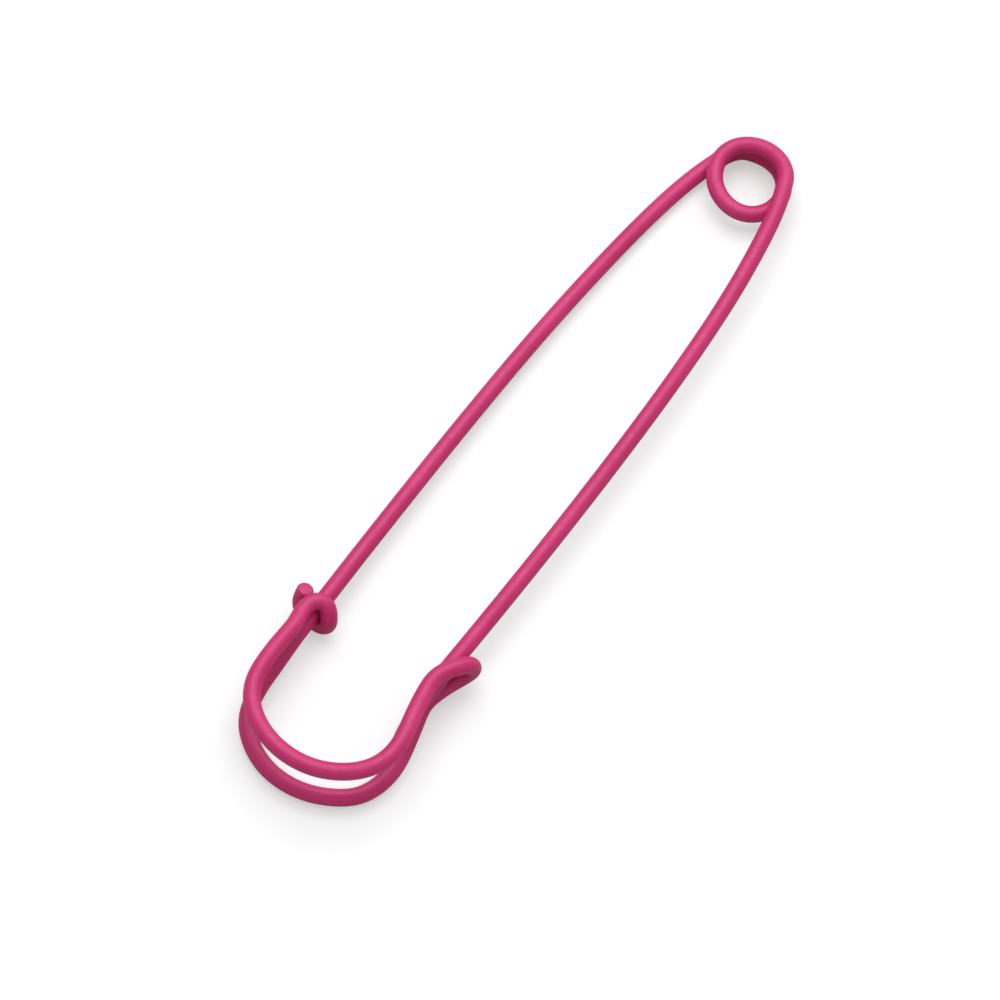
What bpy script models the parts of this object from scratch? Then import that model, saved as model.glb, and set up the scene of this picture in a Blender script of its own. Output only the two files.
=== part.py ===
# Safety pin bent from one length of painted steel wire, closed and lying flat.
# The coil is at +Y and the catch at -Y, with the pin arm on the +X side.
# The origin is on the table, under the middle of the pin.
import bmesh
import bpy
import numpy as np
from math import ceil, cos, radians, sin

MM = 0.001

# Wire
WIRE_DIAMETER = 2.0 * MM
SEAT_GAP = 0.3 * MM          # between stretches that touch or cross
REST_FLAT = 0.2 * MM         # depth of the flats that the pin rests on
END_CHAMFER = 0.25 * MM      # on the cut end

# Coil
COIL_RADIUS = 4.2 * MM       # to the middle of the wire
COIL_GAP = 0.7 * MM          # air between the turns
COIL_START_ANGLE = 18.0      # degrees, where the pin arm joins
COIL_TURN_ANGLE = 467.0      # degrees wound, to where the back arm leaves

# Arms, measured from the coil's centre
ARM_SPAN = 17.6 * MM         # across both arms at their widest
HOOK_REACH = 71.15 * MM      # to the hook's outermost bend
PIN_OVERHANG = 11.75 * MM    # from the hook's bend to the tip
POINT_LENGTH = 7.0 * MM      # ground taper
TIP_DIAMETER = 0.2 * MM      # left at the very tip

# Catch, measured from the hook's outermost bend
HOOK_LENGTH = 6.05 * MM      # to the hook's neck
HOOK_LIFT = 0.6 * MM         # of the hook's lower arm
BINDING_SETBACK = 3.95 * MM  # to the binding's first crossing
BINDING_WIDTH = 1.1 * MM     # drift of the binding along the back arm
BOW_DEPTH = 22.59 * MM       # to the middle of the lower bend
BOW_FLARE = 0.5 * MM         # width that the bow adds to the arms' span
BOW_SHIFT = 0.75 * MM        # of the bend's middle, towards the pin arm
BOW_RISE = 6.0 * MM          # from the lower bend up to the upper bend
BOW_SETBACK = 0.94 * MM      # of the upper bend, towards the coil

# Facets
WIRE_SIDE_RESOLUTION = 6     # 16 sides
RING_ANGLE = 10.0            # degrees between rings in a bend
RING_SHARE = 2.2             # wire diameters between rings where it is straight
SPAN_SAMPLES = 60            # steps read between two stations
WELD_DISTANCE = 0.001 * MM   # joins the end faces to the tube
SMOOTH_ANGLE = 40.0          # degrees, edges sharper than this stay crisp

# Paint
PAINT_COLOUR = (0.58, 0.045, 0.17, 1.0)
PAINT_ROUGHNESS = 0.42

# Sizes that follow
WIRE_RADIUS = WIRE_DIAMETER / 2
CROSSING = WIRE_DIAMETER + SEAT_GAP
COIL_PITCH = WIRE_DIAMETER + COIL_GAP
HALF_SPAN = ARM_SPAN / 2
HALF_BOW = (ARM_SPAN + BOW_FLARE) / 2
REST_HEIGHT = WIRE_RADIUS - REST_FLAT
COIL_TOP = REST_HEIGHT + COIL_PITCH * COIL_TURN_ANGLE / 360
BACK_HEIGHT = REST_HEIGHT + CROSSING
PIN_HEIGHT = REST_HEIGHT + HOOK_LIFT + CROSSING
UPPER_HEIGHT = REST_HEIGHT + BOW_RISE
PIN_REACH = HOOK_REACH + PIN_OVERHANG
POINT_START = PIN_REACH - POINT_LENGTH
BINDING_REACH = HOOK_REACH + BINDING_SETBACK
BOW_REACH = HOOK_REACH + BOW_DEPTH
UPPER_REACH = BOW_REACH - BOW_SETBACK

# Shares of the coil's radius, at even steps along its turns
COIL_RADIUS_SHARES = [1.002, 0.954, 0.997, 1.070, 1.007, 0.987, 1.035, 1.032, 0.963, 0.981, 1.144]

# Stations along the arms: shares of the half span, and of the reach to the hook or the binding
PIN_ARM_REAR_SHARES = [
    (0.585, 0.042), (0.728, 0.114), (0.816, 0.188), (0.915, 0.331), (0.964, 0.473),
]
PIN_ARM_FRONT_SHARES = [(0.983, 0.613), (0.985, 0.746), (0.971, 0.883), (0.952, 0.990)]
PIN_POINT_SHARE = 0.941
BACK_ARM_REAR_SHARES = [
    (-0.622, 0.003), (-0.728, 0.055), (-0.798, 0.107), (-0.855, 0.167), (-0.938, 0.302), (-0.980, 0.430),
]
BACK_ARM_FRONT_SHARES = [(-0.993, 0.560), (-0.989, 0.680), (-0.975, 0.800), (-0.955, 0.915), (-0.938, 1.0)]

# Stations of the catch: shares across the half bow, along the leg, and from its first to its last height
LOWER_BACK_START_SHARES = [(-1.0, 0.209, 0.14)]
LOWER_BACK_LEG_SHARES = [(-1.0, 0.433, 0.55), (-0.985, 0.632, 0.88)]
LOWER_BEND_BACK_SHARES = [(-0.851, 0.808, 0.99), (-0.616, 0.914, 1.0), (-0.314, 0.981, 1.0), (0.003, 1.0, 1.0)]
LOWER_BEND_PIN_SHARES = [
    (0.307, 0.981, 0.0), (0.617, 0.927, 0.0), (0.865, 0.843, 0.0), (0.983, 0.737, 0.0), (1.006, 0.625, 0.0),
]
LOWER_PIN_LEG_SHARES = [(0.941, 0.480, 0.1), (0.859, 0.356, 0.35)]
UPPER_PIN_LEG_SHARES = [(0.895, 0.349, 0.3), (0.956, 0.462, 0.5), (1.028, 0.584, 0.8)]
UPPER_BEND_PIN_SHARES = [
    (1.039, 0.677, 0.9), (0.983, 0.775, 1.0), (0.829, 0.866, 1.0), (0.619, 0.933, 1.0), (0.398, 0.975, 1.0),
    (0.155, 0.996, 1.0),
]
UPPER_BEND_BACK_SHARES = [
    (-0.105, 0.994, 1.0), (-0.397, 0.957, 0.97), (-0.663, 0.882, 0.88), (-0.854, 0.778, 0.80),
]
UPPER_BACK_LEG_SHARES = [(-0.947, 0.670, 0.72), (-0.984, 0.555, 0.62), (-1.002, 0.363, 0.43), (-1.019, 0.190, 0.16)]

# Stations round a crossed wire: degrees round it, shares of the crossing, and shares along
HOOK_LOWER_SHARES = [(-8.0, 1.10, 0.94), (-2.0, 1.02, 0.66), (19.0, 1.0, 0.34), (47.0, 1.02, 0.11)]
HOOK_BEND_SHARES = [(86.0, 1.04, 0.0), (122.0, 1.08, 0.075)]
HOOK_UPPER_SHARES = [(145.0, 1.10, 0.265), (164.0, 1.10, 0.495), (174.0, 1.08, 0.74), (173.0, 1.08, 0.98)]
BINDING_TURN_SHARES = [
    (-13.0, 1.04, 1.58), (-11.0, 1.03, 0.86), (-1.5, 1.02, 0.17), (16.0, 1.01, -0.24), (37.0, 1.01, -0.24),
    (57.0, 1.0, 0.04), (77.0, 1.0, 0.36), (105.0, 1.0, 0.58), (138.0, 1.0, 0.67), (172.0, 1.0, 0.66),
    (210.0, 1.0, 0.58), (245.0, 1.02, 0.38),
]
WIRE_END_SHARES = [(268.0, 1.06, 0.05), (288.0, 1.10, -0.35), (309.0, 1.22, -0.66)]


def coil_route():
    """Points of the coil, from the pin arm down to the back arm."""
    shares = np.arange(len(COIL_RADIUS_SHARES)) / (len(COIL_RADIUS_SHARES) - 1)
    growth = (COIL_RADIUS_SHARES[1] - COIL_RADIUS_SHARES[0]) / (shares[1] - shares[0])
    heading = np.array((1, growth, 0)) / np.hypot(1, growth)
    profile = smooth_line([(share, size, 0) for share, size in zip(shares, COIL_RADIUS_SHARES)], heading)
    steps = ceil(COIL_TURN_ANGLE)
    points = []
    for step in range(steps + 1):
        share = step / steps
        angle = radians(COIL_START_ANGLE + COIL_TURN_ANGLE * share)
        radius = COIL_RADIUS * np.interp(share, profile[:, 0], profile[:, 1])
        height = COIL_TOP + (REST_HEIGHT - COIL_TOP) * share
        points.append((radius * cos(angle), radius * sin(angle), height))
    return np.array(points)


def arm_stations(shares, reach, first_height, last_height):
    """Stations of an arm that slopes evenly from the coil to its reach."""
    return [
        (across * HALF_SPAN, -along * reach, first_height + (last_height - first_height) * along)
        for across, along in shares
    ]


def leg_stations(shares, first_reach, last_reach, first_height, last_height):
    """Stations of the catch's bow, between two reaches and two heights."""
    return [
        (
            BOW_SHIFT + across * HALF_BOW,
            -(first_reach + along * (last_reach - first_reach)),
            first_height + (last_height - first_height) * rise,
        )
        for across, along, rise in shares
    ]


def stations_round(shares, centre_x, centre_z, reach, length, side):
    """Stations that go round a crossed wire, from straight below it (side -1) or above it (side 1)."""
    return [
        (
            centre_x + CROSSING * share * sin(radians(angle)),
            -(reach + along * length),
            centre_z + side * CROSSING * share * cos(radians(angle)),
        )
        for angle, share, along in shares
    ]


def smooth_line(stations, first_heading):
    """Points of one line of even curvature through the stations, SPAN_SAMPLES to a span."""
    stations = np.array(stations)
    count = len(stations)
    spans = np.linalg.norm(np.diff(stations, axis=0), axis=1)
    matrix = np.zeros((count, count))
    target = np.zeros((count, 3))
    matrix[0, 0] = 1
    target[0] = first_heading
    for i in range(1, count - 1):
        before, after = spans[i - 1], spans[i]
        matrix[i, i - 1] = after
        matrix[i, i] = 2 * (before + after)
        matrix[i, i + 1] = before
        rise_before = (stations[i] - stations[i - 1]) * after / before
        rise_after = (stations[i + 1] - stations[i]) * before / after
        target[i] = 3 * (rise_before + rise_after)
    matrix[-1, -2:] = (1, 2)
    target[-1] = 3 * (stations[-1] - stations[-2]) / spans[-1]
    headings = np.linalg.solve(matrix, target)
    line = []
    for i in range(count - 1):
        for step in range(SPAN_SAMPLES):
            t = step / SPAN_SAMPLES
            line.append(
                (2 * t**3 - 3 * t**2 + 1) * stations[i]
                + (t**3 - 2 * t**2 + t) * spans[i] * headings[i]
                + (3 * t**2 - 2 * t**3) * stations[i + 1]
                + (t**3 - t**2) * spans[i] * headings[i + 1]
            )
    line.append(stations[-1])
    return np.array(line)


def end_heading(last, before):
    """Direction in which the coil's wire runs out, past its last point."""
    return (last - before) / np.linalg.norm(last - before)


def pin_groups():
    """Stations of the moving arm, group by group, from the coil to the tip."""
    def arm(shares):
        return arm_stations(shares, HOOK_REACH, COIL_TOP, PIN_HEIGHT)

    def straight(*reaches):
        return [(PIN_POINT_SHARE * HALF_SPAN, -reach, PIN_HEIGHT) for reach in reaches]

    return [
        ("pin_arm_rear", arm(PIN_ARM_REAR_SHARES)),
        ("pin_arm_front", arm(PIN_ARM_FRONT_SHARES)),
        ("pin_shank", straight(POINT_START)),
        ("pin_point", straight((POINT_START + PIN_REACH) / 2, PIN_REACH)),
    ]


def body_groups():
    """Stations of the fixed wire, group by group, from the coil round the catch to its end."""
    pin_x = PIN_POINT_SHARE * HALF_SPAN
    back_x = BACK_ARM_FRONT_SHARES[-1][0] * HALF_SPAN
    hook_low = PIN_HEIGHT - CROSSING
    hook_high = PIN_HEIGHT + CROSSING
    binding_high = BACK_HEIGHT + CROSSING

    def hook(shares):
        return stations_round(shares, pin_x, PIN_HEIGHT, HOOK_REACH, HOOK_LENGTH, -1)

    def binding(shares):
        return stations_round(shares, back_x, BACK_HEIGHT, BINDING_REACH, BINDING_WIDTH, 1)

    def arm(shares):
        return arm_stations(shares, BINDING_REACH, REST_HEIGHT, BACK_HEIGHT)

    def low_back(shares):
        return leg_stations(shares, BINDING_REACH, BOW_REACH, BACK_HEIGHT, REST_HEIGHT)

    def low_pin(shares):
        return leg_stations(shares, HOOK_REACH, BOW_REACH, REST_HEIGHT, hook_low)

    def high_pin(shares):
        return leg_stations(shares, HOOK_REACH, UPPER_REACH, hook_high, UPPER_HEIGHT)

    def high_back(shares):
        return leg_stations(shares, BINDING_REACH, UPPER_REACH, binding_high, UPPER_HEIGHT)

    return [
        ("back_arm_rear", arm(BACK_ARM_REAR_SHARES)),
        ("back_arm_front", arm(BACK_ARM_FRONT_SHARES) + low_back(LOWER_BACK_START_SHARES)),
        ("catch_lower_back_leg", low_back(LOWER_BACK_LEG_SHARES)),
        ("catch_lower_bend", low_back(LOWER_BEND_BACK_SHARES) + low_pin(LOWER_BEND_PIN_SHARES)),
        ("catch_lower_pin_leg", low_pin(LOWER_PIN_LEG_SHARES) + hook(HOOK_LOWER_SHARES[:1])),
        ("hook_lower_arm", hook(HOOK_LOWER_SHARES[1:])),
        ("hook_bend", hook(HOOK_BEND_SHARES)),
        ("hook_upper_arm", hook(HOOK_UPPER_SHARES)),
        ("catch_upper_pin_leg", high_pin(UPPER_PIN_LEG_SHARES)),
        ("catch_upper_bend", high_pin(UPPER_BEND_PIN_SHARES) + high_back(UPPER_BEND_BACK_SHARES)),
        ("catch_upper_back_leg", high_back(UPPER_BACK_LEG_SHARES)),
        ("binding_turn", binding(BINDING_TURN_SHARES)),
        ("wire_end", binding(WIRE_END_SHARES)),
    ]


def divide(start, groups, first_heading):
    """One smooth line through all the groups, divided at each group's last station."""
    stations = [start]
    ends = []
    for name, group in groups:
        stations.extend(group)
        ends.append((name, len(stations) - 1))
    line = smooth_line(stations, first_heading)
    pieces = []
    begin = 0
    for name, station in ends:
        end = station * SPAN_SAMPLES
        pieces.append((name, line[begin:end + 1]))
        begin = end
    return pieces


def shortened(line, first_cut, last_cut):
    """The line without a length at either end."""
    lengths = np.r_[0, np.cumsum(np.linalg.norm(np.diff(line, axis=0), axis=1))]
    first, last = first_cut, lengths[-1] - last_cut
    inner = line[(lengths > first) & (lengths < last)]
    ends = [[np.interp(place, lengths, line[:, k]) for k in range(3)] for place in (first, last)]
    return np.vstack([ends[:1], inner, ends[1:]])


def least_gap(points):
    """Air between the turns of a wound wire, measured on its middle line."""
    steps = np.linalg.norm(np.diff(points, axis=0), axis=1)
    lengths = np.r_[0, np.cumsum(steps)]
    least = lengths[-1]
    for i, point in enumerate(points):
        beyond = points[lengths > lengths[i] + np.pi * COIL_RADIUS]
        if len(beyond):
            least = min(least, np.linalg.norm(beyond - point, axis=1).min())
    return least - WIRE_DIAMETER


def rings(line):
    """Places for the tube's rings, closer together where the line bends."""
    steps = np.diff(line, axis=0)
    lengths = np.linalg.norm(steps, axis=1)
    headings = steps / lengths[:, None]
    cosines = np.sum(headings[1:] * headings[:-1], axis=1)
    turns = np.degrees(np.arccos(np.clip(cosines, -1, 1)))
    need = lengths / (RING_SHARE * WIRE_DIAMETER)
    need[1:] += turns / RING_ANGLE
    need = np.r_[0, np.cumsum(need)]
    marks = np.linspace(0, need[-1], ceil(need[-1]) + 1)
    return np.column_stack([np.interp(marks, need, line[:, k]) for k in range(3)])


def distances_to_end(points):
    """Length of wire from each point to the last one."""
    steps = np.linalg.norm(np.diff(points, axis=0), axis=1)
    return np.r_[np.cumsum(steps[::-1])[::-1], 0]


def ground_to_point(points):
    """Radius shares of the point's rounded taper."""
    tip_share = TIP_DIAMETER / WIRE_DIAMETER
    left = np.clip(distances_to_end(points) / POINT_LENGTH, 0, 1)
    return tip_share + (1 - tip_share) * np.sqrt(left)


def chamfered(line):
    """Ring places and radius shares of a cut end with a chamfer."""
    points = rings(shortened(line, 0, END_CHAMFER))
    points = np.vstack([points, line[-1:]])
    shares = np.ones(len(points))
    shares[-1] = 1 - END_CHAMFER / WIRE_RADIUS
    return points, shares


def paint(name):
    """Painted steel."""
    material = bpy.data.materials.new(name + "_paint")
    material.use_nodes = True
    shader = material.node_tree.nodes["Principled BSDF"]
    shader.inputs["Base Color"].default_value = PAINT_COLOUR
    shader.inputs["Roughness"].default_value = PAINT_ROUGHNESS
    shader.inputs["Metallic"].default_value = 0.0
    material.diffuse_color = PAINT_COLOUR
    return material


def tube_mesh(name, points, shares):
    """Round tube along the points, closed at both ends and cut flat where it meets the table."""
    curve = bpy.data.curves.new(name, "CURVE")
    curve.dimensions = "3D"
    curve.bevel_depth = WIRE_RADIUS
    curve.bevel_resolution = WIRE_SIDE_RESOLUTION
    curve.use_fill_caps = True
    spline = curve.splines.new("POLY")
    spline.points.add(len(points) - 1)
    for spline_point, point, share in zip(spline.points, points, shares):
        spline_point.co = (*point, 1)
        spline_point.radius = share
    guide = bpy.data.objects.new(name + "_guide", curve)
    bpy.context.scene.collection.objects.link(guide)
    bpy.context.view_layer.update()
    evaluated = guide.evaluated_get(bpy.context.evaluated_depsgraph_get())
    mesh = bpy.data.meshes.new_from_object(evaluated)
    mesh.name = name
    bpy.data.objects.remove(guide)

    tube = bmesh.new()
    tube.from_mesh(mesh)
    bmesh.ops.remove_doubles(tube, verts=tube.verts, dist=WELD_DISTANCE)
    if min(vert.co.z for vert in tube.verts) < 0:
        everything = [*tube.verts, *tube.edges, *tube.faces]
        cut = bmesh.ops.bisect_plane(tube, geom=everything, plane_co=(0, 0, 0), plane_no=(0, 0, 1), clear_inner=True)
        open_edges = [item for item in cut["geom_cut"] if isinstance(item, bmesh.types.BMEdge)]
        bmesh.ops.edgenet_fill(tube, edges=open_edges)
    bmesh.ops.recalc_face_normals(tube, faces=tube.faces)
    tube.to_mesh(mesh)
    tube.free()
    mesh.shade_smooth()
    mesh.set_sharp_from_angle(angle=radians(SMOOTH_ANGLE))
    return mesh


def add_stretch(name, points, shares, centre, pivot=None):
    """One stretch of the wire as an object whose origin is on the coil's axis."""
    mesh = tube_mesh(name, points, shares)
    mesh.materials.clear()
    mesh.materials.append(paint(name))
    stretch = bpy.data.objects.new(name, mesh)
    bpy.context.scene.collection.objects.link(stretch)
    if pivot is None:
        stretch.location = centre
    else:
        stretch.parent = pivot
    return stretch


def middle_of(lines):
    """Where the coil's axis stands when the whole pin is centred on the origin."""
    points = np.vstack(lines)
    middle = (points.min(axis=0) + points.max(axis=0)) / 2
    return (-middle[0], -middle[1], 0)


def main():
    for item in list(bpy.data.objects):
        bpy.data.objects.remove(item, do_unlink=True)

    coil = coil_route()
    pin_lines = divide(coil[0], pin_groups(), end_heading(coil[0], coil[1]))
    body_lines = divide(coil[-1], body_groups(), end_heading(coil[-1], coil[-2]))
    centre = middle_of([coil] + [line for name, line in pin_lines + body_lines])
    print("coil axis at x %.2f mm, y %.2f mm" % (centre[0] / MM, centre[1] / MM))
    print("least gap between the coil's turns %.2f mm" % (least_gap(coil) / MM))

    half_gap = SEAT_GAP / 2
    coil_points = rings(shortened(coil, half_gap, half_gap))
    add_stretch("coil", coil_points, np.ones(len(coil_points)), centre)

    pivot = bpy.data.objects.new("pin_pivot", None)
    pivot.location = centre
    pivot.empty_display_size = COIL_RADIUS
    bpy.context.scene.collection.objects.link(pivot)
    for name, line in pin_lines:
        last_cut = 0 if name == "pin_point" else half_gap
        points = rings(shortened(line, half_gap, last_cut))
        shares = ground_to_point(points) if name == "pin_point" else np.ones(len(points))
        add_stretch(name, points, shares, centre, pivot)

    for name, line in body_lines:
        if name == "wire_end":
            points, shares = chamfered(shortened(line, half_gap, 0))
        else:
            points = rings(shortened(line, half_gap, half_gap))
            shares = np.ones(len(points))
        add_stretch(name, points, shares, centre)


main()
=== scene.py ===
from math import ceil, cos, pi, radians, sin

import bpy
import numpy as np
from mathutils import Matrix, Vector


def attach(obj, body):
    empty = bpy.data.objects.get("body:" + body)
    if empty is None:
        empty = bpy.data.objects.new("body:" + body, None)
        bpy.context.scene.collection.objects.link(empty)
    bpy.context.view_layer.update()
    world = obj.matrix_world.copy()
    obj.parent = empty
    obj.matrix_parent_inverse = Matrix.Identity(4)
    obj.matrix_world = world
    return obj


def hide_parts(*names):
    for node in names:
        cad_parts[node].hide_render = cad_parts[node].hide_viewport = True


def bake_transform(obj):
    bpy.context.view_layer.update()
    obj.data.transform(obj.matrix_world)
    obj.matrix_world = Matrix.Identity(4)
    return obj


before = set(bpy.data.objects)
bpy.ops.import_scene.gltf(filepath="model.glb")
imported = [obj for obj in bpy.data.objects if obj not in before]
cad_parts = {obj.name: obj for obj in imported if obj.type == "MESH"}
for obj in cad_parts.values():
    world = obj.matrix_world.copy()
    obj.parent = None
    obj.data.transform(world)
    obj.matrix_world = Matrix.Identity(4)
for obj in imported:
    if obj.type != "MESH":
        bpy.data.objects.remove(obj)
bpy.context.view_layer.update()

# A safety pin bent from one painted wire.
# Routes are in millimetres in the CAD's own frame: coil at +Y, catch at -Y, table at z 0.
mm = 0.001


def deselectAll():
    if bpy.context.object and bpy.context.object.mode != "OBJECT":
        bpy.ops.object.mode_set(mode="OBJECT")
    bpy.ops.object.select_all(action="DESELECT")


def pickOnly(obj):
    deselectAll()
    obj.select_set(True)
    bpy.context.view_layer.objects.active = obj


print("wire route")

wire = {
    "radius": 1.0,
    "sides": 36,
    "ringStep": 0.34,
    "endStep": 0.01,  # short last step, so that cut faces that meet are parallel
    "rimRounding": 0.42,  # of the cut end
    "rimRings": 6,
    "pointLength": 7.0,  # ground taper
    "pointRings": 40,
    "tipShare": 0.09,  # of the radius, left at the very tip
    "taperPower": 0.58,
    "mergeDistance": 0.0005,
    "sharpAngle": 50.0,  # edges sharper than this stay crisp
}

coilSpring = {
    "centre": (0.016, 44.751),
    "radius": 4.2,
    "radiusShares": (  # evenly along the turns
        1.004, 0.947, 0.990, 1.069, 1.007, 0.997, 1.060, 1.020, 0.960, 0.980, 1.144,
    ),
    "startAngle": 18.0,
    "turnAngle": 467.0,
    "topHeight": 4.30,
    "bottomHeight": 1.0,
    "armLength": 4.5,  # of each arm's wire, that the coil piece takes in
}

pinArm = {
    "points": [
        (4.94, 43.58, 4.31), (5.44, 41.78, 4.28), (6.45, 36.64, 4.23), (7.20, 31.37, 4.19),
        (8.07, 21.20, 4.10), (8.50, 11.10, 4.02), (8.67, 1.14, 3.93), (8.68, -8.33, 3.85),
        (8.56, -18.07, 3.77), (8.39, -25.69, 3.71),
    ],
}

pinPoint = {
    "start": (8.31, -28.19, 3.70),
    "points": [(8.31, -31.15, 3.70), (8.39, -34.65, 3.70), (8.48, -38.55, 3.70)],
}

backArm = {
    "points": [
        (-5.46, 44.53, 1.01), (-6.39, 40.62, 1.12), (-7.01, 36.72, 1.23), (-7.51, 32.21, 1.35),
        (-8.24, 22.07, 1.63), (-8.61, 12.46, 1.91), (-8.72, 2.69, 2.18), (-8.69, -6.32, 2.42),
        (-8.56, -15.33, 2.68), (-8.39, -23.97, 2.92), (-8.24, -30.35, 3.10), (-8.28, -34.24, 2.80),
    ],
}

lowerStrand = {
    "points": [
        (-8.28, -38.42, 1.94), (-8.15, -42.13, 1.26), (-6.94, -45.41, 1.02), (-4.81, -47.39, 1.00),
        (-2.08, -48.63, 1.00), (0.79, -48.98, 1.00), (3.54, -48.57, 1.00), (6.35, -47.34, 1.00),
        (8.59, -45.45, 1.00), (9.66, -43.04, 1.00), (9.87, -40.51, 1.00), (9.28, -37.25, 1.05),
        (8.54, -34.45, 1.17),
    ],
}

catchHook = {
    "around": (8.30, 3.70),  # x and z of the pin arm that it holds
    "crossing": 2.3,
    "reach": -26.40,
    "length": -6.05,
    "side": -1,  # starts below the arm
    "turns": [  # degrees round the arm, share of the crossing and share of the length
        (-5.0, 1.10, 0.94), (2.0, 1.05, 0.66), (21.0, 1.01, 0.34), (47.0, 0.99, 0.11),
        (86.0, 0.99, 0.0), (122.0, 1.05, 0.075), (145.0, 1.10, 0.265), (164.0, 1.10, 0.495),
        (174.0, 1.08, 0.74), (173.0, 1.08, 0.98),
    ],
    "legPoints": [(8.87, -33.96, 6.24), (9.42, -36.40, 6.40)],
}

upperStrand = {
    "points": [
        (10.07, -39.04, 6.64), (10.17, -41.06, 6.72), (9.66, -43.18, 6.79), (8.27, -45.15, 6.79),
        (6.37, -46.60, 6.79), (4.37, -47.51, 6.79), (2.17, -47.96, 6.79), (-0.18, -47.94, 6.79),
        (-2.83, -47.29, 6.76), (-5.23, -45.97, 6.63), (-6.96, -44.12, 6.52), (-7.80, -42.21, 6.41),
        (-8.14, -40.17, 6.27), (-8.30, -36.77, 5.94), (-8.46, -33.71, 5.45),
    ],
}

endBinding = {
    "around": (-8.25, 3.08),  # x and z of the back arm that it grips
    "crossing": 2.04,
    "reach": -30.35,
    "length": -1.1,
    "side": 1,  # starts above the arm
    "turns": [
        (-13.0, 1.05, 1.58), (-11.0, 1.04, 0.86), (-1.5, 1.02, 0.17), (16.0, 1.0, -0.24),
        (37.0, 1.0, -0.24), (57.0, 1.0, 0.04), (77.0, 1.0, 0.36), (105.0, 1.0, 0.58),
        (138.0, 1.0, 0.67), (172.0, 1.0, 0.66), (210.0, 1.0, 0.58), (245.0, 1.02, 0.38),
        (268.0, 1.06, 0.05), (288.0, 1.10, -0.35), (309.0, 1.26, -0.66),
    ],
}


def coilLine():
    # from the pin arm down to the back arm, a place for every degree
    x, y = coilSpring["centre"]
    top, bottom = coilSpring["topHeight"], coilSpring["bottomHeight"]
    radiusShares = coilSpring["radiusShares"]
    steps = np.arange(len(radiusShares)) / (len(radiusShares) - 1)
    table = np.column_stack([steps, radiusShares, 0 * steps])
    profile = smoothLine(table, unit(table[1] - table[0]))
    degrees = int(coilSpring["turnAngle"])
    turned = []
    for degree in range(degrees + 1):
        share = degree / degrees
        angle = radians(coilSpring["startAngle"] + coilSpring["turnAngle"] * share)
        radius = coilSpring["radius"] * np.interp(share, profile[:, 0], profile[:, 1])
        turned.append((x + radius * cos(angle), y + radius * sin(angle), top + (bottom - top) * share))
    return np.array(turned)


def wrapPoints(wrap):
    # places round a crossed wire, from its degrees, share of the crossing and share along
    x, z = wrap["around"]
    return [
        (
            x + wrap["crossing"] * share * sin(radians(angle)),
            wrap["reach"] + along * wrap["length"],
            z + wrap["side"] * wrap["crossing"] * share * cos(radians(angle)),
        )
        for angle, share, along in wrap["turns"]
    ]


def smoothLine(points, firstHeading, perSpan=40):
    # cubic through the points, with even curvature where spans meet
    points = np.array(points, float)
    count = len(points)
    spans = np.linalg.norm(np.diff(points, axis=0), axis=1)
    matrix = np.zeros((count, count))
    target = np.zeros((count, 3))
    matrix[0, 0] = 1
    target[0] = firstHeading
    for i in range(1, count - 1):
        before, after = spans[i - 1], spans[i]
        matrix[i, i - 1:i + 2] = (after, 2 * (before + after), before)
        target[i] = 3 * (
            (points[i] - points[i - 1]) * after / before + (points[i + 1] - points[i]) * before / after
        )
    matrix[-1, -2:] = (1, 2)
    target[-1] = 3 * (points[-1] - points[-2]) / spans[-1]
    headings = np.linalg.solve(matrix, target)
    line = []
    for i in range(count - 1):
        for t in np.arange(perSpan) / perSpan:
            line.append(
                (2 * t**3 - 3 * t**2 + 1) * points[i]
                + (t**3 - 2 * t**2 + t) * spans[i] * headings[i]
                + (3 * t**2 - 2 * t**3) * points[i + 1]
                + (t**3 - t**2) * spans[i] * headings[i + 1]
            )
    line.append(points[-1])
    return np.array(line)


def lengthsAlong(line):
    return np.r_[0, np.cumsum(np.linalg.norm(np.diff(line, axis=0), axis=1))]


def unit(vector):
    return vector / np.linalg.norm(vector)


def lengthAt(line, point):
    # length of wire from the line's start to the middle of the step nearest the point
    nearest = np.argmin(np.linalg.norm(line - np.array(point), axis=1))
    return lengthsAlong(line)[nearest:nearest + 2].mean()


coil = coilLine()
pinLine = smoothLine(
    [coil[0]] + pinArm["points"] + pinPoint["points"],
    unit(coil[0] - coil[1]),
)
bodyLine = smoothLine(
    [coil[-1]] + backArm["points"] + lowerStrand["points"] + wrapPoints(catchHook) + catchHook["legPoints"]
    + upperStrand["points"] + wrapPoints(endBinding),
    unit(coil[-1] - coil[-2]),
)
wholeLine = np.vstack([pinLine[::-1], coil[1:], bodyLine[1:]])  # from the tip to the cut end
wholeLine[:, 2] = np.maximum(wholeLine[:, 2], wire["radius"])  # nothing sinks into the table
wholeLengths = lengthsAlong(wholeLine)
coilStart = lengthsAlong(pinLine)[-1]
coilEnd = coilStart + lengthsAlong(coil)[-1]
print("wire length %.1f mm" % wholeLengths[-1])


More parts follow.
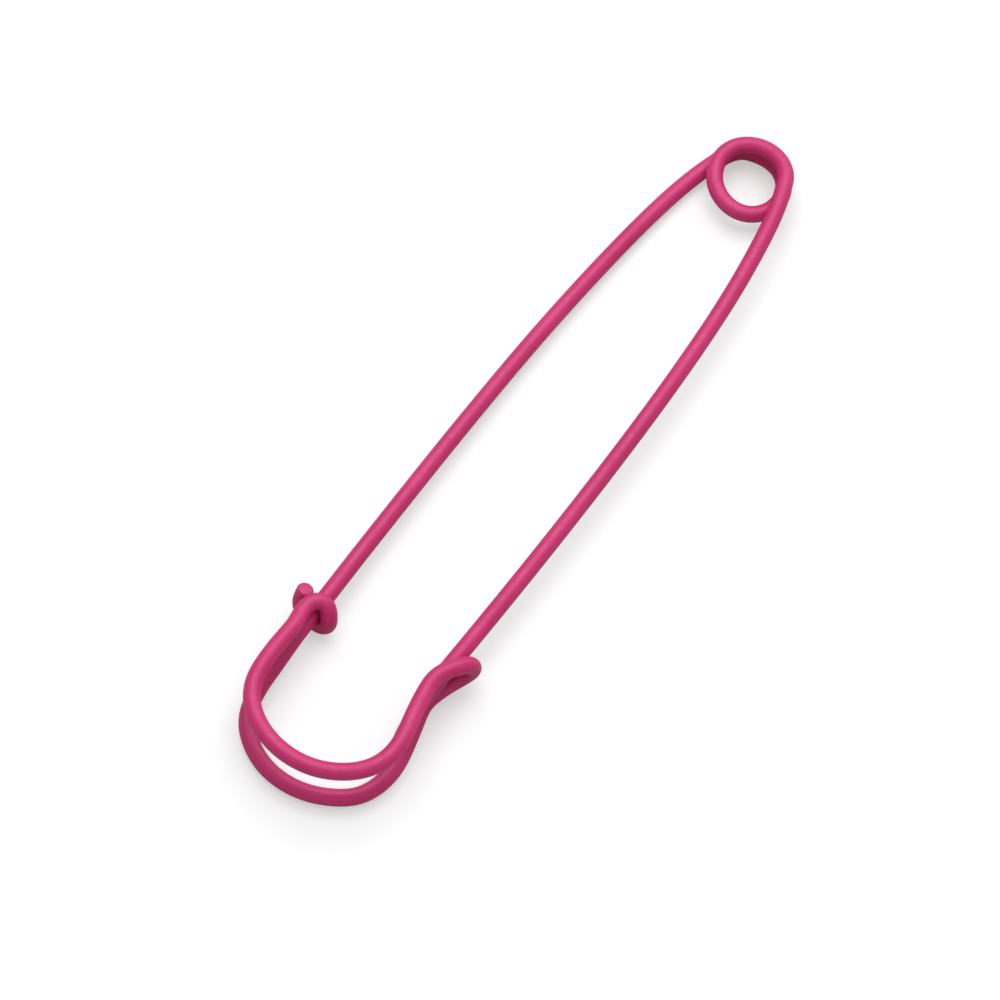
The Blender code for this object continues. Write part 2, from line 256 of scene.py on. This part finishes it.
def wireTube(name, firstLength, lastLength, pointed=False, cutEnd=False):
    # one stretch of the wire as a closed tube, from length to length along the whole wire
    steps = ceil((lastLength - firstLength) / wire["ringStep"])
    inner = np.linspace(firstLength, lastLength, steps + 1)[1:-1]
    endStep = wire["endStep"]
    marks = np.r_[firstLength, firstLength + endStep, inner, lastLength - endStep, lastLength]
    if pointed:
        near = wire["pointLength"] * (np.arange(wire["pointRings"]) / wire["pointRings"]) ** 2
        marks = np.r_[near, marks[marks > near[-1] + wire["ringStep"] / 2]]
    if cutEnd:
        rim = lastLength - wire["rimRounding"] * (1 - np.sin(np.linspace(0, pi / 2, wire["rimRings"])))
        marks = np.r_[marks[marks < rim[0] - wire["ringStep"] / 3], rim]
    places = np.column_stack([np.interp(marks, wholeLengths, wholeLine[:, k]) for k in range(3)])
    shares = np.ones(len(marks))
    if pointed:
        taper = np.clip(marks / wire["pointLength"], 0, 1) ** wire["taperPower"]
        shares = wire["tipShare"] + (1 - wire["tipShare"]) * taper
    if cutEnd:
        left = np.clip((lastLength - marks) / wire["rimRounding"], 0, 1)
        shares = 1 - wire["rimRounding"] * (1 - np.sqrt(1 - (1 - left) ** 2)) / wire["radius"]

    deselectAll()
    bpy.ops.curve.primitive_nurbs_path_add()
    tube = bpy.context.object
    tube.name = name
    curve = tube.data
    curve.splines.clear()
    spline = curve.splines.new("POLY")
    spline.points.add(len(places) - 1)
    for point, place, share in zip(spline.points, places * mm, shares):
        point.co = (*place, 1)
        point.radius = share
    curve.bevel_depth = wire["radius"] * mm
    curve.bevel_resolution = wire["sides"] // 2 - 2  # a round of 4 sides and 2 more for each step
    curve.use_fill_caps = True
    pickOnly(tube)
    bpy.ops.object.convert(target="MESH")
    tube = bpy.context.object
    tube.data.name = name
    bpy.ops.object.mode_set(mode="EDIT")
    bpy.ops.mesh.select_all(action="SELECT")
    bpy.ops.mesh.remove_doubles(threshold=wire["mergeDistance"] * mm)
    bpy.ops.mesh.normals_make_consistent(inside=False)
    bpy.ops.object.mode_set(mode="OBJECT")
    bpy.ops.object.shade_smooth_by_angle(angle=radians(wire["sharpAngle"]))
    return tube


print("wire pieces")
cuts = {
    "point": coilStart - lengthAt(pinLine, pinPoint["start"]),
    "coilFirst": coilStart - coilSpring["armLength"],
    "coilLast": coilEnd + coilSpring["armLength"],
    "lower": coilEnd + lengthAt(bodyLine, backArm["points"][-1]),
    "hook": coilEnd + lengthAt(bodyLine, lowerStrand["points"][-1]),
    "upper": coilEnd + lengthAt(bodyLine, catchHook["legPoints"][-1]),
    "binding": coilEnd + lengthAt(bodyLine, upperStrand["points"][-1]),
}
pieces = {
    "pinPoint": wireTube("pinPoint", 0, cuts["point"], pointed=True),
    "pinArm": wireTube("pinArm", cuts["point"], cuts["coilFirst"]),
    "coilSpring": wireTube("coilSpring", cuts["coilFirst"], cuts["coilLast"]),
    "backArm": wireTube("backArm", cuts["coilLast"], cuts["lower"]),
    "lowerStrand": wireTube("lowerStrand", cuts["lower"], cuts["hook"]),
    "catchHook": wireTube("catchHook", cuts["hook"], cuts["upper"]),
    "upperStrand": wireTube("upperStrand", cuts["upper"], cuts["binding"]),
    "endBinding": wireTube("endBinding", cuts["binding"], wholeLengths[-1], cutEnd=True),
}

print("materials")

paint = {
    "colour": (0.514, 0.012, 0.119, 1.0),
    "thinColour": (0.556, 0.019, 0.143, 1.0),
    "thickColour": (0.474, 0.008, 0.104, 1.0),
    "roughness": (0.43, 0.56),
    "reflection": 0.63,
    "reflectionTint": (0.85, 0.78, 1.0, 1.0),
    "blotchScale": 160.0,
    "blotchRange": (0.28, 0.50, 0.72),  # thick, plain and thin paint
    "skinScale": 1500.0,
    "skinRange": (0.3, 0.7),
    "skinShare": 0.35,  # of the blotches' height
    "bumpStrength": 0.5,
    "bumpDepth": 0.00003,
}


def newMaterial(name):
    material = bpy.data.materials.new(name)
    material.use_nodes = True
    material.node_tree.nodes.clear()
    return material, material.node_tree.nodes, material.node_tree.links


def paintGroup():
    # sprayed paint on wire: blotchy colour, uneven gloss and a fine skin
    group = bpy.data.node_groups.new("sprayedPaint", "ShaderNodeTree")
    face = group.interface
    for name, kind, value in (
        ("Colour", "NodeSocketColor", paint["colour"]),
        ("Thin Colour", "NodeSocketColor", paint["thinColour"]),
        ("Thick Colour", "NodeSocketColor", paint["thickColour"]),
        ("Blotch Scale", "NodeSocketFloat", paint["blotchScale"]),
        ("Skin Scale", "NodeSocketFloat", paint["skinScale"]),
        ("Least Roughness", "NodeSocketFloat", paint["roughness"][0]),
        ("Most Roughness", "NodeSocketFloat", paint["roughness"][1]),
    ):
        socket = face.new_socket(name=name, in_out="INPUT", socket_type=kind)
        socket.default_value = value
    for name, kind in (
        ("Colour", "NodeSocketColor"),
        ("Roughness", "NodeSocketFloat"),
        ("Height", "NodeSocketFloat"),
    ):
        face.new_socket(name=name, in_out="OUTPUT", socket_type=kind)
    nodes, links = group.nodes, group.links
    given = nodes.new("NodeGroupInput")
    result = nodes.new("NodeGroupOutput")
    place = nodes.new("ShaderNodeTexCoord")

    def noise(scaleSocket, detail, roughness):
        node = nodes.new("ShaderNodeTexNoise")
        node.inputs["Detail"].default_value = detail
        node.inputs["Roughness"].default_value = roughness
        links.new(place.outputs["Object"], node.inputs["Vector"])
        links.new(given.outputs[scaleSocket], node.inputs["Scale"])
        return node

    def ramp(source, low, high):
        node = nodes.new("ShaderNodeMapRange")
        node.inputs["From Min"].default_value = low
        node.inputs["From Max"].default_value = high
        links.new(source, node.inputs["Value"])
        return node

    def mixed(factor, first, second):
        node = nodes.new("ShaderNodeMix")
        node.data_type = "RGBA"
        links.new(factor, node.inputs["Factor"])
        links.new(first, node.inputs["A"])
        links.new(second, node.inputs["B"])
        return node.outputs["Result"]

    blotches = noise("Blotch Scale", detail=3.0, roughness=0.55)
    skin = noise("Skin Scale", detail=2.0, roughness=0.5)
    thickest, plain, thinnest = paint["blotchRange"]
    thin = ramp(blotches.outputs["Fac"], plain, thinnest)
    thick = ramp(blotches.outputs["Fac"], plain, thickest)
    thinned = mixed(thin.outputs["Result"], given.outputs["Colour"], given.outputs["Thin Colour"])
    thickened = mixed(thick.outputs["Result"], thinned, given.outputs["Thick Colour"])
    links.new(thickened, result.inputs["Colour"])

    gloss = ramp(skin.outputs["Fac"], *paint["skinRange"])
    links.new(given.outputs["Least Roughness"], gloss.inputs["To Min"])
    links.new(given.outputs["Most Roughness"], gloss.inputs["To Max"])
    links.new(gloss.outputs["Result"], result.inputs["Roughness"])

    height = nodes.new("ShaderNodeMath")
    height.operation = "MULTIPLY_ADD"
    height.inputs[1].default_value = paint["skinShare"]
    links.new(skin.outputs["Fac"], height.inputs[0])
    links.new(blotches.outputs["Fac"], height.inputs[2])
    links.new(height.outputs["Value"], result.inputs["Height"])
    return group


sprayedPaint = paintGroup()


def paintedWire(name):
    material, nodes, links = newMaterial(name)
    output = nodes.new("ShaderNodeOutputMaterial")
    shader = nodes.new("ShaderNodeBsdfPrincipled")
    coat = nodes.new("ShaderNodeGroup")
    coat.node_tree = sprayedPaint
    bump = nodes.new("ShaderNodeBump")
    bump.inputs["Strength"].default_value = paint["bumpStrength"]
    bump.inputs["Distance"].default_value = paint["bumpDepth"]
    links.new(coat.outputs["Height"], bump.inputs["Height"])
    links.new(bump.outputs["Normal"], shader.inputs["Normal"])
    links.new(coat.outputs["Roughness"], shader.inputs["Roughness"])
    links.new(coat.outputs["Colour"], shader.inputs["Base Color"])
    links.new(shader.outputs["BSDF"], output.inputs["Surface"])
    shader.inputs["Specular IOR Level"].default_value = paint["reflection"]
    shader.inputs["Specular Tint"].default_value = paint["reflectionTint"]
    return material


wirePaint = paintedWire("wirePaint")
for piece in pieces.values():
    piece.data.materials.clear()
    piece.data.materials.append(wirePaint)

print("riding")
for name in ("pinPoint", "pinArm"):
    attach(pieces[name], "pin")
for name in ("backArm", "lowerStrand", "catchHook", "upperStrand", "endBinding"):
    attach(pieces[name], "body")

# the coil winds from the back arm's height up to the pin arm's
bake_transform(pieces["coilSpring"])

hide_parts("pin_point", "pin_shank")
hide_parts("pin_arm_rear", "pin_arm_front")
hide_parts("coil")
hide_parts("back_arm_rear", "back_arm_front")
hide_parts("catch_lower_back_leg", "catch_lower_bend", "catch_lower_pin_leg")
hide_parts("hook_lower_arm", "hook_bend", "hook_upper_arm")
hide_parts("catch_upper_pin_leg", "catch_upper_bend", "catch_upper_back_leg")
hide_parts("binding_turn", "wire_end")

print("floor and light")

studio = {
    "floorSize": 3.0,
    "floorSteps": 4,
    "floorColour": (0.50, 0.50, 0.50, 1.0),  # that lights the wire from below
    "floorShown": (0.50, 0.508, 0.506, 1.0),  # that the camera sees
    "floorGlow": (0.445, 0.449, 0.448, 1.0),
    "floorRoughness": 0.9,
    "floorReflection": 0.1,
    "grainScale": 900.0,
    "grainDetail": 3.0,
    "bumpStrength": 0.1,
    "bumpDepth": 0.00002,
    "worldStrength": 0.56,
    "panels": [  # name, place, size and power
        ("topPanel", (-0.12, 0.25, 0.68), 0.68, 4.55),
        ("backPanel", (0.08, 0.75, 0.40), 0.55, 1.1),
    ],
}

steps = studio["floorSteps"]
bpy.ops.mesh.primitive_grid_add(x_subdivisions=steps, y_subdivisions=steps, size=studio["floorSize"])
floor = bpy.context.object
floor.name = "studioFloor"

material, nodes, links = newMaterial("floorPaper")
output = nodes.new("ShaderNodeOutputMaterial")
paper = nodes.new("ShaderNodeBsdfPrincipled")
place = nodes.new("ShaderNodeTexCoord")
grain = nodes.new("ShaderNodeTexNoise")
grain.inputs["Scale"].default_value = studio["grainScale"]
grain.inputs["Detail"].default_value = studio["grainDetail"]
links.new(place.outputs["Object"], grain.inputs["Vector"])
path = nodes.new("ShaderNodeLightPath")
colour = nodes.new("ShaderNodeMix")
colour.data_type = "RGBA"
colour.inputs["A"].default_value = studio["floorColour"]
colour.inputs["B"].default_value = studio["floorShown"]
links.new(path.outputs["Is Camera Ray"], colour.inputs["Factor"])
links.new(colour.outputs["Result"], paper.inputs["Base Color"])
bump = nodes.new("ShaderNodeBump")
bump.inputs["Strength"].default_value = studio["bumpStrength"]
bump.inputs["Distance"].default_value = studio["bumpDepth"]
links.new(grain.outputs["Fac"], bump.inputs["Height"])
links.new(bump.outputs["Normal"], paper.inputs["Normal"])
glow = nodes.new("ShaderNodeMix")  # brightens the paper in the picture only
glow.data_type = "RGBA"
glow.inputs["A"].default_value = (0.0, 0.0, 0.0, 1.0)
glow.inputs["B"].default_value = studio["floorGlow"]
links.new(path.outputs["Is Camera Ray"], glow.inputs["Factor"])
links.new(glow.outputs["Result"], paper.inputs["Emission Color"])
paper.inputs["Emission Strength"].default_value = 1.0
paper.inputs["Roughness"].default_value = studio["floorRoughness"]
paper.inputs["Specular IOR Level"].default_value = studio["floorReflection"]
links.new(paper.outputs["BSDF"], output.inputs["Surface"])
floor.data.materials.append(material)

world = bpy.data.worlds.new("studioWorld")
bpy.context.scene.world = world
world.use_nodes = True
sky = world.node_tree.nodes["Background"]
sky.inputs["Color"].default_value = (1.0, 1.0, 1.0, 1.0)
sky.inputs["Strength"].default_value = studio["worldStrength"]


def aimAt(obj, target):
    obj.rotation_euler = (Vector(target) - obj.location).to_track_quat("-Z", "Y").to_euler()


for name, place, size, power in studio["panels"]:
    bpy.ops.object.light_add(type="AREA", location=place)
    panel = bpy.context.object
    panel.name = name
    panel.data.shape = "SQUARE"
    panel.data.size = size
    panel.data.energy = power
    aimAt(panel, (0, 0, 0))

print("camera")

view = {
    "target": (-0.28, -5.85, 0.0),
    "distance": 574.7,
    "elevation": 63.0,
    "lookAcross": (-0.579, 0.815),
    "lens": 180.0,
    "sensorWidth": 36.0,
    "clip": (0.01, 20.0),
}
towards = Vector((
    -view["lookAcross"][0] * cos(radians(view["elevation"])),
    -view["lookAcross"][1] * cos(radians(view["elevation"])),
    sin(radians(view["elevation"])),
))
target = Vector(view["target"]) * mm
bpy.ops.object.camera_add(location=target + towards * view["distance"] * mm)
camera = bpy.context.object
camera.name = "photoCamera"
camera.data.lens = view["lens"]
camera.data.sensor_width = view["sensorWidth"]
camera.data.clip_start, camera.data.clip_end = view["clip"]
aimAt(camera, target)
bpy.context.scene.camera = camera
bpy.context.scene.view_settings.view_transform = "Standard"
